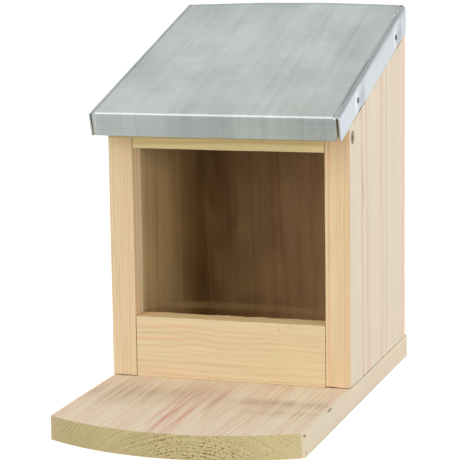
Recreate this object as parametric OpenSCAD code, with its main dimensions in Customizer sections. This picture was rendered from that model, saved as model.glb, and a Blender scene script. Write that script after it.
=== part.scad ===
// Wooden feeding box on a platform: a clear front pane between two rails, and a board lid
// under folded sheet metal that lifts on two butt hinges at the back.
// X runs to the right, Y to the back, Z up. The origin is the middle of the base's underside.

/* [Box] */
// Width over the two side panels, and of the base and the lid
box_w = 120; // [96:1:160]
// Depth from the front of the side panels to the rear of the back board
box_d = 117.5; // [90:0.1:150]
// Height of the side panels' front edge above the table
front_h = 135.7; // [100:0.5:180]
// Slope of the side panels' tops and of the lid, in degrees
roof_slope = 16.8; // [8:0.1:25]
// Thickness of the side panels
side_t = 12; // [9:0.5:18]
// Thickness of the back board
back_t = 8.4; // [7:0.1:12]

/* [Base] */
// Thickness of the base board
base_t = 11.4; // [9:0.5:18]
// How far the tip of the platform stands out in front of the box
platform = 97; // [60:0.5:130]
// How far the curved front edge stands out past its two corners
front_bow = 16.5; // [4:0.5:25]
// How far the base stands out behind the box
rear_lip = 6.2; // [4:0.1:12]

/* [Rails] */
// Height of the bottom rail
low_rail_h = 30; // [20:0.5:50]
// Thickness of the bottom rail, front to back
low_rail_t = 11.5; // [9:0.5:18]
// Height of the top rail at its front face
top_rail_h = 11.7; // [10:0.5:24]
// Thickness of the top rail, front to back
top_rail_t = 11.5; // [9:0.5:18]

/* [Pane] */
// Thickness of the clear pane
pane_t = 2; // [1.5:0.1:4]
// Depth of the groove in each side panel
groove_d = 4; // [2:0.5:6]
// Clearance round the pane in its grooves
pane_fit = 0.25; // [0.1:0.05:0.6]

/* [Lid] */
// Thickness of the lid board
lid_t = 12; // [9:0.5:18]
// How far the lid stands out in front of the box, along its slope
eaves = 18; // [6:0.2:40]
// Gap between the closed lid and the box
lid_gap = 0.3; // [0.2:0.05:1]
// Thickness of the sheet metal
sheet_t = 0.6; // [0.4:0.05:1.2]
// Air between the sheet and the lid board
sheet_fit = 0.3; // [0:0.05:0.4]
// How much of the lid board's edge shows below the sheet's folded flanges
flange_reveal = 1.2; // [0.9:0.1:6.9]
// Outer radius of the sheet's side folds
fold_r = 1.2; // [1:0.1:1.6]
// Open slit between the front flange and each side flange
corner_slit = 1.4; // [0.4:0.1:4]

/* [Hinges] */
// Length of each hinge along its pin
hinge_w = 25; // [16:1:40]
// Distance of each hinge's middle from the middle of the box
hinge_x = 36; // [24:1:45]
// Width of each leaf, from the pin to its free edge
leaf_h = 10.5; // [9:0.5:12]
// Thickness of the leaves
leaf_t = 0.8; // [0.6:0.1:1]
// Radius of the hinge pin
pin_r = 0.9; // [0.7:0.05:1]
// Clearance round the pin in the lid's knuckle, on the radius
pin_fit = 0.05; // [0.02:0.01:0.1]
// Clearance between one knuckle and the next, and between a knuckle and the wood
knuckle_gap = 0.15; // [0.1:0.05:0.3]

/* [Hanger] */
// Width of the hanger plate
hanger_w = 40; // [34:1:60]
// Height of the hanger plate
hanger_h = 22; // [20:1:32]
// Thickness of the hanger plate
hanger_t = 1.2; // [1:0.1:2]
// Height of the hanger plate's middle above the table
hanger_z = 132; // [100:1:150]
// Radius of the keyhole's round opening
key_r = 4.5; // [4:0.1:5.5]
// Radius of the keyhole's slot
slot_r = 2.2; // [1.6:0.1:2.6]
// Length of the slot, from the round opening's centre to the slot's end
slot_l = 8; // [7:0.5:10]
// Depth of the pocket in the wood behind the keyhole
pocket_d = 5; // [4:0.1:5.5]

/* [Fasteners] */
// Radius of the long screws' shanks
screw_r = 1.5; // [1.2:0.1:2]
// Radius of the long screws' heads
head_r = 3; // [2.6:0.1:3.6]
// Length of the long screws
screw_l = 28; // [22:1:35]
// Radius of the small screws' shanks
small_r = 1; // [0.8:0.1:1.3]
// Radius of the small screws' heads
small_head_r = 2; // [1.7:0.1:2.3]
// Length of the small screws
small_l = 6.5; // [5:0.5:6.5]
// Radius of the nails' shanks
nail_r = 0.7; // [0.5:0.05:1]
// Radius of the nails' heads
nail_head_r = 1.5; // [1.2:0.1:2]
// Length of the nails' shanks
nail_l = 14; // [8:1:20]
// Height of the nails above the side flanges' lower edges
nail_lift = 3.8; // [2:0.1:6]
// Clearance round a shank or a head in its hole, on the radius
screw_fit = 0.03; // [0:0.01:0.1]

/* [Hidden] */
$fn = 64;

base_l = platform + box_d + rear_lip;
front_y = platform - base_l / 2;
rear_y = front_y + box_d;
side_d = box_d - back_t;
half_w = box_w / 2;
inner_w = box_w - 2 * side_t;
side_x = half_w - side_t / 2;
bow_r = (half_w * half_w + front_bow * front_bow) / (2 * front_bow);
rear_h = front_h + box_d * tan(roof_slope);

rail_depth = max(low_rail_t, top_rail_t);
pane_y = front_y + rail_depth + pane_fit;
pane_w = inner_w + 2 * (groove_d - pane_fit);
pane_h = front_h + rail_depth * tan(roof_slope) - base_t - pane_fit;

sheet_over = sheet_t + sheet_fit;
lid_w = box_w - 2 * sheet_over;
sheet_z = lid_gap + lid_t + sheet_over;
flange_h = sheet_z - lid_gap - flange_reveal;
lid_run = (eaves + box_d + lid_t) / cos(roof_slope);

knuckle_r = pin_r + pin_fit + leaf_t;
pin_y = rear_y + knuckle_gap + knuckle_r;
pin_z = rear_h + lid_gap / (2 * cos(roof_slope));
knuckle_l = (hinge_w - 2 * knuckle_gap) / 3;
leaf_start = knuckle_r + knuckle_gap;
leaf_screw_z = (leaf_start + leaf_h) / 2;
leaf_screw_x = hinge_w / 2 - 2 * small_head_r;

// How deep the long screws' heads lie, and how far a cut runs past a face
recess = 0.3;
through = 1;
sink_l = 6;
big = 2 * (box_w + base_l);

// [x, y] of each screw in the base's underside
side_screw_ys = [front_y + side_d * 0.2, front_y + side_d * 0.8];
back_screw_x = inner_w / 4;
base_screw_spots = concat(
    [for (s = [-1, 1], y = side_screw_ys) [s * side_x, y]],
    [for (s = [-1, 1]) [s * back_screw_x, rear_y - back_t / 2]],
    [[0, front_y + low_rail_t / 2]]);
back_screw_zs = [base_t + (front_h - base_t) * 0.25, base_t + (front_h - base_t) * 0.85];
rail_screw_y = front_y + top_rail_t / 2;
rail_screw_z = front_h - top_rail_h / 2 + 1;
// Where the nails stand along the slope from the box's front, and above the sloped top
nail_runs = [box_d * 0.18, box_d * 0.89];
nail_z = lid_gap + flange_reveal + nail_lift;
nail_proud = 0.5;
hanger_screw_x = hanger_w / 2 - 5;

// A countersunk screw down -Z from its head's face at the origin, fatter all round by fit
module screw(r, head, l, fit = 0, drive = true) {
    rim = 0.3;
    cone = head - r;
    tip = 2 * r;
    difference() {
        rotate_extrude()
            polygon([[0, fit], [head + fit, fit], [head + fit, -rim], [r + fit, -rim - cone],
                     [r + fit, -l + tip], [0, -l - fit]]);
        if (drive)
            for (a = [0, 90])
                rotate(a) translate([-head * 0.6, -head * 0.1, -cone * 0.7])
                    cube([head * 1.2, head * 0.2, cone * 0.7 + through]);
    }
}

module long_screw() { screw(screw_r, head_r, screw_l); }
module long_hole() { screw(screw_r, head_r, screw_l, screw_fit, false); sink(head_r); }
module small_screw() { screw(small_r, small_head_r, small_l); }
module small_hole() { screw(small_r, small_head_r, small_l, screw_fit, false); sink(small_head_r); }
module sink(r) { cylinder(r = r + screw_fit, h = sink_l); }

// Everything above the plane of the box's sloped top
module above_top(raise = 0) {
    on_slope() translate([-big / 2, -big / 2, raise]) cube([big, big, big]);
}

// Slope frame: X to the right, Y up the slope from the box's front, Z off its top
module on_slope() {
    translate([0, front_y, front_h]) rotate([roof_slope, 0, 0]) children();
}

module behind_box() {
    translate([-big / 2, rear_y, -big / 2]) cube([big, big, big]);
}

// Where the screws go, each with its head's face at the child's origin
module at_base_screws() {
    for (p = base_screw_spots) translate([p[0], p[1], recess]) rotate([180, 0, 0]) children();
}
module at_back_screws() {
    for (s = [-1, 1], z = back_screw_zs)
        translate([s * side_x, rear_y - recess, z]) rotate([-90, 0, 0]) children();
}
module at_rail_screws() {
    for (s = [-1, 1])
        translate([s * (half_w - recess), rail_screw_y, rail_screw_z]) rotate([0, s * 90, 0]) children();
}
module at_leaf_screws(side) {
    for (h = [-1, 1], s = [-1, 1])
        translate([h * hinge_x + s * leaf_screw_x, rear_y + leaf_t, pin_z + side * leaf_screw_z])
            rotate([-90, 0, 0]) children();
}
module at_hanger_screws() {
    for (s = [-1, 1])
        translate([s * hanger_screw_x, rear_y + hanger_t, hanger_z]) rotate([-90, 0, 0]) children();
}

module base_board() {
    color("burlywood") difference() {
        intersection() {
            translate([-half_w, -base_l / 2, 0]) cube([box_w, base_l, base_t]);
            translate([0, bow_r - base_l / 2, 0]) cylinder(r = bow_r, h = base_t, $fn = 360);
        }
        at_base_screws() long_hole();
    }
}

module side_panel() {
    difference() {
        translate([half_w - side_t, front_y, base_t]) cube([side_t, side_d, rear_h - base_t]);
        translate([half_w - side_t - through, pane_y - pane_fit, base_t - through])
            cube([groove_d + through, pane_t + 2 * pane_fit, rear_h]);
        above_top();
        at_base_screws() long_hole();
        at_back_screws() long_hole();
        at_rail_screws() long_hole();
    }
}
module side_right() { color("wheat") side_panel(); }
module side_left() { color("wheat") mirror([1, 0, 0]) side_panel(); }

module back_board() {
    color("tan") difference() {
        translate([-half_w, rear_y - back_t, base_t]) cube([box_w, back_t, rear_h - base_t]);
        above_top();
        at_base_screws() long_hole();
        at_back_screws() long_hole();
        at_leaf_screws(-1) small_hole();
        at_hanger_screws() small_hole();
        translate([0, rear_y + through, hanger_z]) rotate([90, 0, 0])
            keyhole(slot_r, pocket_d + through);
    }
}

// The keyhole's outline made larger by grow, along +Z
module keyhole(grow, depth) {
    translate([0, -slot_l / 2, 0]) {
        cylinder(r = key_r + grow, h = depth);
        translate([-slot_r - grow, 0, 0]) cube([2 * (slot_r + grow), slot_l, depth]);
        translate([0, slot_l, 0]) cylinder(r = slot_r + grow, h = depth);
    }
}

module bottom_rail() {
    color("navajowhite") difference() {
        translate([-inner_w / 2, front_y, base_t]) cube([inner_w, low_rail_t, low_rail_h]);
        at_base_screws() long_hole();
    }
}

module top_rail() {
    color("navajowhite") difference() {
        translate([-inner_w / 2, front_y, front_h - top_rail_h])
            cube([inner_w, top_rail_t, top_rail_h + top_rail_t]);
        above_top();
        at_rail_screws() long_hole();
    }
}

module window_pane() {
    color([0.8, 0.9, 0.95, 0.4])
        translate([-pane_w / 2, pane_y, base_t]) cube([pane_w, pane_t, pane_h]);
}

module base_screws() { color("silver") at_base_screws() long_screw(); }
module back_screws() { color("silver") at_back_screws() long_screw(); }
module rail_screws() { color("silver") at_rail_screws() long_screw(); }

module at_nails() {
    for (s = [-1, 1], y = nail_runs)
        on_slope() translate([s * half_w, y, nail_z]) rotate([0, s * 90, 0]) children();
}
module nail(fit = 0) {
    translate([0, 0, -nail_l - fit]) cylinder(r = nail_r + fit, h = nail_l + fit + through / 2);
}

module lid_board() {
    color("burlywood") difference() {
        on_slope() translate([-lid_w / 2, -eaves + sheet_over, lid_gap])
            cube([lid_w, lid_run, lid_t]);
        behind_box();
        at_leaf_screws(1) small_hole();
        at_nails() nail(screw_fit);
    }
}

module lid_sheet() {
    color("lightsteelblue") difference() {
        on_slope() {
            translate([0, lid_run - eaves, 0]) rotate([90, 0, 0])
                linear_extrude(lid_run) channel();
            translate([-half_w + sheet_t + corner_slit, -eaves, sheet_z - flange_h])
                cube([box_w - 2 * (sheet_t + corner_slit), sheet_t, flange_h - sheet_t / 2]);
        }
        behind_box();
        at_nails() nail(screw_fit);
    }
}

// Cross-section of the sheet: its top and two side flanges, with round folds
module channel() {
    difference() {
        folded(half_w, sheet_z, fold_r);
        folded(half_w - sheet_t, sheet_z - sheet_t, fold_r - sheet_t);
        translate([-box_w, -big]) square([2 * box_w, big + sheet_z - flange_h]);
    }
}
module folded(half, top, r) {
    translate([-half, -1]) square([2 * half, top - r + 1]);
    translate([-half + r, 0]) square([2 * (half - r), top]);
    for (s = [-1, 1]) translate([s * (half - r), top - r]) circle(r);
}

module sheet_nails() {
    color("dimgray") at_nails() {
        translate([0, 0, -nail_l]) cylinder(r = nail_r, h = nail_l + nail_proud / 2);
        cylinder(r = nail_head_r, h = nail_proud);
    }
}

// A leaf that runs up from the pin at side 1 or down at side -1, with knuckles at the given places
module leaf(h, side, knuckles, bore) {
    translate([h * hinge_x, pin_y, pin_z]) difference() {
        union() {
            translate([-hinge_w / 2, rear_y - pin_y, side > 0 ? leaf_start : -leaf_h])
                cube([hinge_w, leaf_t, leaf_h - leaf_start]);
            for (k = knuckles) translate([k * (knuckle_l + knuckle_gap) - knuckle_l / 2, 0, 0]) {
                translate([0, rear_y - pin_y, side > 0 ? 0 : -leaf_h])
                    cube([knuckle_l, leaf_t, leaf_h]);
                rotate([0, 90, 0]) cylinder(r = knuckle_r, h = knuckle_l);
            }
        }
        translate([-hinge_w, 0, 0]) rotate([0, 90, 0]) cylinder(r = bore, h = 2 * hinge_w);
        translate([-h * hinge_x, -pin_y, -pin_z]) at_leaf_screws(side) small_hole();
    }
}
module box_leaf(h) { color("gray") leaf(h, -1, [-1, 1], pin_r + pin_fit / 5); }
module lid_leaf(h) { color("gray") leaf(h, 1, [0], pin_r + pin_fit); }
module pin(h) {
    color("darkgray") translate([h * hinge_x - hinge_w / 2, pin_y, pin_z])
        rotate([0, 90, 0]) cylinder(r = pin_r, h = hinge_w);
}

module hanger_plate() {
    color("silver") difference() {
        translate([0, rear_y + hanger_t, hanger_z]) rotate([90, 0, 0]) rounded_plate();
        translate([0, rear_y + hanger_t + through, hanger_z]) rotate([90, 0, 0])
            keyhole(0, hanger_t + 2 * through);
        at_hanger_screws() small_hole();
    }
}
module rounded_plate() {
    r = 4;
    for (dx = [-1, 1], dz = [-1, 1])
        translate([dx * (hanger_w / 2 - r), dz * (hanger_h / 2 - r), 0]) cylinder(r = r, h = hanger_t);
    translate([-hanger_w / 2 + r, -hanger_h / 2, 0]) cube([hanger_w - 2 * r, hanger_h, hanger_t]);
    translate([-hanger_w / 2, -hanger_h / 2 + r, 0]) cube([hanger_w, hanger_h - 2 * r, hanger_t]);
}

module hinge_screws_box() { color("gray") at_leaf_screws(-1) small_screw(); }
module hinge_screws_lid() { color("gray") at_leaf_screws(1) small_screw(); }
module hanger_screws() { color("silver") at_hanger_screws() small_screw(); }

base_board();
side_left();
side_right();
back_board();
bottom_rail();
top_rail();
window_pane();
base_screws();
back_screws();
rail_screws();
lid_board();
lid_sheet();
sheet_nails();
box_leaf(-1);  // hinge_left_box_leaf
lid_leaf(-1);  // hinge_left_lid_leaf
pin(-1);  // hinge_left_pin
box_leaf(1);  // hinge_right_box_leaf
lid_leaf(1);  // hinge_right_lid_leaf
pin(1);  // hinge_right_pin
hinge_screws_box();
hinge_screws_lid();
hanger_plate();
hanger_screws();
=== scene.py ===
import math
import random

import bmesh
import bpy
from mathutils import Matrix, Vector, noise


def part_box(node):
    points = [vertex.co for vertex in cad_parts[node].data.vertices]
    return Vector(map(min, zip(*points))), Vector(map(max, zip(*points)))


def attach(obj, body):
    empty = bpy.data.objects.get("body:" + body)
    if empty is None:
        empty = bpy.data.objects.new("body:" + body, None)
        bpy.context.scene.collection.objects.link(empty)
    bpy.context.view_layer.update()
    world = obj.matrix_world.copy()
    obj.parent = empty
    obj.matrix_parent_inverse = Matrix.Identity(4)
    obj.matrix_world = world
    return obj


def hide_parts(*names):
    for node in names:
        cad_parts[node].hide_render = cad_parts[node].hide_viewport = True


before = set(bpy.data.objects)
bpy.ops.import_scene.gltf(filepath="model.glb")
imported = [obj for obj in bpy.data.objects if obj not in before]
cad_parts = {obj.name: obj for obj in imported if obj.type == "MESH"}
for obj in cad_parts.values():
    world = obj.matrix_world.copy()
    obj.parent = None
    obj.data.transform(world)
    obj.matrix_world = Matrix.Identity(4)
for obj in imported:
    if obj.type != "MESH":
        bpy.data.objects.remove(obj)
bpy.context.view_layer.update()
mm = 0.001

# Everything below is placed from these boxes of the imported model
baseLow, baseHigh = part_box("base_board")
sideLow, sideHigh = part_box("side_right")
backLow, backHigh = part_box("back_board")
lowRailLow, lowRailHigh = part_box("bottom_rail")
topRailLow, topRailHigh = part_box("top_rail")
paneLow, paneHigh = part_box("window_pane")


def nodePoints(node):
    return [v.co.copy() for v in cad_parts[node].data.vertices]


def findSlope():
    # height of the side panels' front top corner, and the slope of their tops
    frontTop = max(p.z for p in nodePoints("side_right") if p.y < sideLow.y + 0.1 * mm)
    return frontTop, math.atan2(sideHigh.z - frontTop, sideHigh.y - sideLow.y)


frontTop, slope = findSlope()
# X to the right, Y up the slope from the box's front, Z off the sloped top
slopeFrame = Matrix.Translation((0, sideLow.y, frontTop)) @ Matrix.Rotation(slope, 4, "X")


def slopeBox(node):
    points = [slopeFrame.inverted() @ p for p in nodePoints(node)]
    return (Vector([min(p[k] for p in points) for k in range(3)]),
            Vector([max(p[k] for p in points) for k in range(3)]))


def slopeTop(y):
    return frontTop + (y - sideLow.y) * math.tan(slope)


def slopeRun(y, off):
    # how far along the slope an upright cut at this y is, at a height off the slope
    return (y - sideLow.y + off * math.sin(slope)) / math.cos(slope)


def looseParts(node):
    # the boxes of a node's separate solids, such as the screws of one group
    bm = bmesh.new()
    bm.from_mesh(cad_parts[node].data)
    bmesh.ops.remove_doubles(bm, verts=bm.verts, dist=0.001 * mm)
    left, boxes = set(bm.verts), []
    while left:
        todo, part = [left.pop()], []
        while todo:
            vert = todo.pop()
            part.append(vert.co.copy())
            for edge in vert.link_edges:
                other = edge.other_vert(vert)
                if other in left:
                    left.discard(other)
                    todo.append(other)
        boxes.append((Vector([min(p[k] for p in part) for k in range(3)]),
                      Vector([max(p[k] for p in part) for k in range(3)])))
    bm.free()
    return sorted(boxes, key=lambda b: tuple(round(c, 5) for c in b[0]))


# Node helpers

def tint(code):
    # a colour such as "E3D3B8" as the linear numbers that a shader takes
    parts = [int(code[k:k + 2], 16) / 255 for k in (0, 2, 4)]
    return [c / 12.92 if c <= 0.04045 else ((c + 0.055) / 1.055) ** 2.4 for c in parts] + [1]


def addNode(tree, kind, inputs=None, **settings):
    node = tree.nodes.new(kind)
    for key, value in settings.items():
        setattr(node, key, value)
    for key, value in (inputs or {}).items():
        if isinstance(value, bpy.types.NodeSocket):
            tree.links.new(value, node.inputs[key])
        else:
            node.inputs[key].default_value = value
    return node


def calc(tree, operation, *values):
    return addNode(tree, "ShaderNodeMath", dict(enumerate(values)), operation=operation).outputs[0]


def vectorCalc(tree, operation, *values):
    node = addNode(tree, "ShaderNodeVectorMath", dict(enumerate(values)), operation=operation)
    return node.outputs["Value" if operation in ("LENGTH", "DOT_PRODUCT") else "Vector"]


def stretch(tree, spot, x, y, z):
    return vectorCalc(tree, "MULTIPLY", spot, (x, y, z))


def cloud(tree, spot, scale=1.0, detail=3.0, roughness=0.5, output="Fac"):
    inputs = {"Vector": spot, "Scale": scale, "Detail": detail, "Roughness": roughness}
    return addNode(tree, "ShaderNodeTexNoise", inputs).outputs[output]


def streak(tree, spot, size, detail=3.0, roughness=0.5, output="Fac"):
    # clouds drawn out by a different size along each axis
    return cloud(tree, stretch(tree, spot, *size), 1, detail, roughness, output)


def part(tree, vector, axis):
    return addNode(tree, "ShaderNodeSeparateXYZ", {"Vector": vector}).outputs[axis]


def facingShare(tree, facing, way):
    # 1 on the faces that look along this way or against it
    return calc(tree, "ABSOLUTE", vectorCalc(tree, "DOT_PRODUCT", facing, way))


def ramp(tree, value, *stops):
    # stops are (place, brightness) or (place, colour code)
    node = addNode(tree, "ShaderNodeValToRGB", {"Fac": value})
    band = node.color_ramp
    while len(band.elements) < len(stops):
        band.elements.new(1.0)
    for element, (place, shade) in zip(band.elements, stops):
        element.position = place
        element.color = tint(shade) if isinstance(shade, str) else (shade, shade, shade, 1)
    return node.outputs["Color"]


def mix(tree, amount, first, second, mode="MIX"):
    node = tree.nodes.new("ShaderNodeMix")
    node.data_type, node.blend_type = "RGBA", mode
    for index, value in ((0, amount), (6, first), (7, second)):
        if isinstance(value, bpy.types.NodeSocket):
            tree.links.new(value, node.inputs[index])
        elif isinstance(value, str):
            node.inputs[index].default_value = tint(value)
        else:
            node.inputs[index].default_value = value
    return node.outputs[2]


def newMaterial(name):
    material = bpy.data.materials.new(name)
    material.use_nodes = True
    tree = material.node_tree
    tree.nodes.clear()
    output = tree.nodes.new("ShaderNodeOutputMaterial")
    coords = tree.nodes.new("ShaderNodeTexCoord")
    # places on the piece in millimetres, and the way each face looks
    spot = vectorCalc(tree, "MULTIPLY", coords.outputs["Object"], (1000, 1000, 1000))
    return material, tree, output, spot, coords.outputs["Normal"]


def surface(tree, output, **inputs):
    shader = addNode(tree, "ShaderNodeBsdfPrincipled",
                     {key.replace("_", " "): value for key, value in inputs.items()})
    tree.links.new(shader.outputs[0], output.inputs["Surface"])


def bump(tree, height, depth):
    inputs = {"Height": height, "Distance": depth, "Strength": 1.0}
    return addNode(tree, "ShaderNodeBump", inputs).outputs["Normal"]


# Pine: growth rings round a pith line, fibres along the grain, whatever marks the board has, and painted
# shade round the feed space

grainTurn = {"X": (0, 90, 0), "Y": (-90, 0, 0), "Z": (0, 0, 0)}
grainWay = {"X": (1, 0, 0), "Y": (0, 1, 0), "Z": (0, 0, 1)}

pineLook = {
    "grain": "Z",
    "pith": (0, 0, 0),  # a point on the pith line, in millimetres
    "lean": (0, 0),  # how far the pith line leans off the grain, in degrees
    "ringGap": 2.6,
    "sway": 3.0,  # how far the rings wander, in millimetres
    "ripple": 0.15,  # shorter waves in the grain, in millimetres
    "early": "E6D6B8",
    "late": "CF9E6C",
    "lateAmount": 0.55,
    "blush": "E2BFA2",
    "blushAmount": 0.5,
    "endWood": "D2C294",
    "endLate": "8F7550",
    "speck": "9C6B3F",
    "specks": 0.35,
    "pit": "6E5020",
    "pitted": None,  # (place, size): where the end grain is full of small pits
    "marks": [],
    "fibreAmount": 0.07,
    "edgeTint": None,  # (way, colour): faces that look this way are tinted
    "inside": None,  # (axis, from, to): painted shade on the faces round the feed space, changing along an axis
    "depth": 0.14,
}


def drift(tree, spot, detail, roughness, reach):
    # a wandering push across the grain, of up to this reach in millimetres
    push = vectorCalc(tree, "SUBTRACT", cloud(tree, spot, 1, detail, roughness, "Color"), (0.5, 0.5, 0.5))
    return vectorCalc(tree, "MULTIPLY", push, (2 * reach, 2 * reach, 0))


def makePine(name, **changes):
    look = {**pineLook, **changes}
    material, tree, output, spot, facing = newMaterial(name)
    turn = [math.radians(a + b) for a, b in zip(grainTurn[look["grain"]], (*look["lean"], 0))]
    log = addNode(tree, "ShaderNodeMapping",
                  {"Vector": spot, "Location": look["pith"], "Rotation": turn},
                  vector_type="TEXTURE").outputs[0]
    wander = vectorCalc(tree, "ADD",
                        drift(tree, stretch(tree, log, 0.03, 0.03, 0.006), 2, 0.45, look["sway"]),
                        drift(tree, stretch(tree, log, 0.09, 0.09, 0.045), 3, 0.5, look["ripple"]))
    offPith = vectorCalc(tree, "MULTIPLY", vectorCalc(tree, "ADD", log, wander), (1, 1, 0))
    radius = vectorCalc(tree, "LENGTH", offPith)
    uneven = addNode(tree, "ShaderNodeTexNoise", {"W": radius, "Scale": 0.13, "Detail": 1.0},
                     noise_dimensions="1D").outputs["Fac"]
    rings = calc(tree, "ADD", calc(tree, "DIVIDE", radius, look["ringGap"]),
                 calc(tree, "MULTIPLY", uneven, 2.6))
    share = calc(tree, "FRACT", rings)
    number = calc(tree, "FLOOR", rings)
    luck = addNode(tree, "ShaderNodeTexWhiteNoise", {"W": number}, noise_dimensions="1D").outputs["Value"]
    late = ramp(tree, share, (0.0, 0.4), (0.07, 0.0), (0.5, 0.04), (0.84, 1.0), (0.96, 1.0), (1.0, 0.4))
    strength = calc(tree, "MULTIPLY_ADD", luck, 0.75, 0.3)
    patch = ramp(tree, streak(tree, log, (0.05, 0.05, 0.008), 2), (0.3, 0.45), (0.7, 1.0))
    amount = calc(tree, "MULTIPLY", calc(tree, "MULTIPLY", late, strength), patch)
    amount = calc(tree, "MULTIPLY", amount, look["lateAmount"])
    colour = mix(tree, amount, look["early"], look["late"])
    streaks = streak(tree, log, (0.2, 0.2, 0.005), 4, 0.65)
    streaks = ramp(tree, streaks, (0.42, 0.0), (0.66, 1.0))
    strands = streak(tree, log, (0.75, 0.75, 0.012), 2, 0.5)
    strands = ramp(tree, strands, (0.42, 0.0), (0.58, 1.0))
    colour = mix(tree, calc(tree, "MULTIPLY", streaks, look["blushAmount"]), colour, look["blush"])
    fibre = streak(tree, log, (1.7, 1.7, 0.035), 4, 0.65)
    lift = look["fibreAmount"]
    colour = mix(tree, 1.0, colour,
                 ramp(tree, fibre, (0.3, 1 - 1.6 * lift), (0.5, 1.0), (0.7, 1 + 0.7 * lift)), "MULTIPLY")
    dash = streak(tree, log, (1.1, 1.1, 0.14), 2, 0.5)
    dash = ramp(tree, dash, (0.7, 0.0), (0.78, 1.0))
    colour = mix(tree, calc(tree, "MULTIPLY", dash, look["specks"]), colour, look["speck"])
    # end grain: darker and greener, without the long fibres
    across = facingShare(tree, facing, grainWay[look["grain"]])
    endMask = ramp(tree, across, (0.72, 0.0), (0.9, 1.0))
    sawn = ramp(tree, streak(tree, spot, (1.3, 1.3, 1.3), 4, 0.7), (0.3, 0.82), (0.7, 1.08))
    endColour = mix(tree, calc(tree, "MULTIPLY", amount, 0.85), look["endWood"], look["endLate"])
    endColour = mix(tree, 1.0, endColour, sawn, "MULTIPLY")
    pits = ramp(tree, streak(tree, spot, (1.2, 1.2, 1.2), 2, 0.6), (0.55, 0.0), (0.62, 1.0))
    pits = calc(tree, "MULTIPLY", pits, ramp(tree, share, (0.2, 0.1), (0.55, 1.0)))
    amountOfPits = look["specks"] * 0.25
    if look["pitted"]:
        place, size = look["pitted"]
        amountOfPits = calc(tree, "MULTIPLY_ADD", blob(tree, spot, place, size, 0.3, 0.5), 0.8, amountOfPits)
    pits = calc(tree, "MULTIPLY", pits, amountOfPits)
    endColour = mix(tree, pits, endColour, look["pit"])
    colour = mix(tree, endMask, colour, endColour)
    if look["edgeTint"]:
        way, shade = look["edgeTint"]
        atEdge = ramp(tree, facingShare(tree, facing, way), (0.5, 0.0), (0.9, 1.0))
        colour = mix(tree, atEdge, colour,
                     mix(tree, 1.0, colour, shade, "MULTIPLY"))
    # painted shade on the faces round the feed space
    if look["inside"]:
        colour = paintInsideShade(tree, spot, colour, *look["inside"])
    height = calc(tree, "MULTIPLY_ADD", fibre, 0.8, calc(tree, "MULTIPLY", amount, -0.3))
    height = calc(tree, "SUBTRACT", height, calc(tree, "MULTIPLY", dash, 0.3))
    height = calc(tree, "SUBTRACT", height, calc(tree, "MULTIPLY", pits, endMask))
    for mark in look["marks"]:
        colour, height = addMark(tree, spot, colour, height, strands, **mark)
    rough = ramp(tree, fibre, (0.3, 0.62), (0.7, 0.78))
    surface(tree, output, Base_Color=colour, Roughness=rough, Specular_IOR_Level=0.3,
            Normal=bump(tree, height, look["depth"] * mm))
    return material


def paintInsideShade(tree, spot, colour, axis, start, end):
    # painted shade: the wood round the feed space is darkened as if in shade, within a box mask a little
    # larger than the space
    low = Vector((-sideLow.x, paneHigh.y, baseHigh.z))
    high = Vector((sideLow.x, backLow.y, slopeTop(backLow.y) + 2 * mm))
    middle, half = (low + high) / 2 / mm, (high - low) / 2 / mm
    away = vectorCalc(tree, "ABSOLUTE", vectorCalc(tree, "SUBTRACT", spot, middle))
    past = vectorCalc(tree, "SUBTRACT", away, half)
    apart = addNode(tree, "ShaderNodeSeparateXYZ", {"Vector": past}).outputs
    most = calc(tree, "MAXIMUM", apart["X"], calc(tree, "MAXIMUM", apart["Y"], apart["Z"]))
    mask = ramp(tree, calc(tree, "MULTIPLY_ADD", most, 1.0, 0.5), (0.75, 1.0), (0.95, 0.0))
    # the painted shade goes from one end of the space to the other
    k = "XYZ".index(axis)
    along = part(tree, spot, axis)
    share = calc(tree, "DIVIDE", calc(tree, "SUBTRACT", along, middle[k] - half[k]), 2 * half[k])
    uneven = calc(tree, "SUBTRACT", streak(tree, spot, (0.04, 0.04, 0.015), 2), 0.5)
    share = calc(tree, "MULTIPLY_ADD", uneven, 0.5, share)
    shade = ramp(tree, share, (0.02, start), (0.85, end))
    return mix(tree, mask, colour, mix(tree, 1.0, colour, shade, "MULTIPLY"))


def blob(tree, spot, at, size, ragged, soft):
    # 1 round a point and 0 beyond its size in millimetres, with a ragged soft rim
    away = vectorCalc(tree, "DIVIDE", vectorCalc(tree, "SUBTRACT", spot, at), size)
    edge = cloud(tree, away, 1.6, 3, 0.6)
    away = calc(tree, "MULTIPLY_ADD", calc(tree, "SUBTRACT", edge, 0.5), ragged * 2,
                vectorCalc(tree, "LENGTH", away))
    return ramp(tree, away, (max(0.0, 1 - soft), 1.0), (1.0, 0.0))


def addMark(tree, spot, colour, height, strands, at=(0, 0, 0), size=(5, 5, 5), shade="8A6A3A", amount=0.5,
            ragged=0.5, hollow=0.0, soft=0.5, grained=0.0):
    # a smudge, stain or knot, which shows up more in the strands of the grain if it is grained
    mask = blob(tree, spot, at, size, ragged, soft)
    if grained:
        mask = calc(tree, "MULTIPLY", mask, calc(tree, "MULTIPLY_ADD", strands, grained, 1 - grained))
    colour = mix(tree, calc(tree, "MULTIPLY", mask, amount), colour, shade)
    if hollow:
        height = calc(tree, "MULTIPLY_ADD", mask, -hollow, height)
    return colour, height


def stain(at, size, shade, amount, **more):
    return {"at": at, "size": size, "shade": shade, "amount": amount, **more}


# Zinc sheet: cloudy grey with rolling streaks from front to back and faint brushing across

zincLook = {
    "pale": "DCE4E0",
    "dark": "C4CDC9",
    "crease": "B4BAB6",
    "scratch": "E4E8E6",
    "creases": (-38, 17, 24, 43),  # faint lines from front to back, in millimetres from the middle
    "sides": "DCE2E8",  # painted reflection: the side flanges are tinted a little bluer
    "metal": 0.85,
    "marks": [
        stain((40, -27, 145), (9, 8, 5), "C9C29A", 0.22, soft=0.9),
    ],
}


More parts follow.
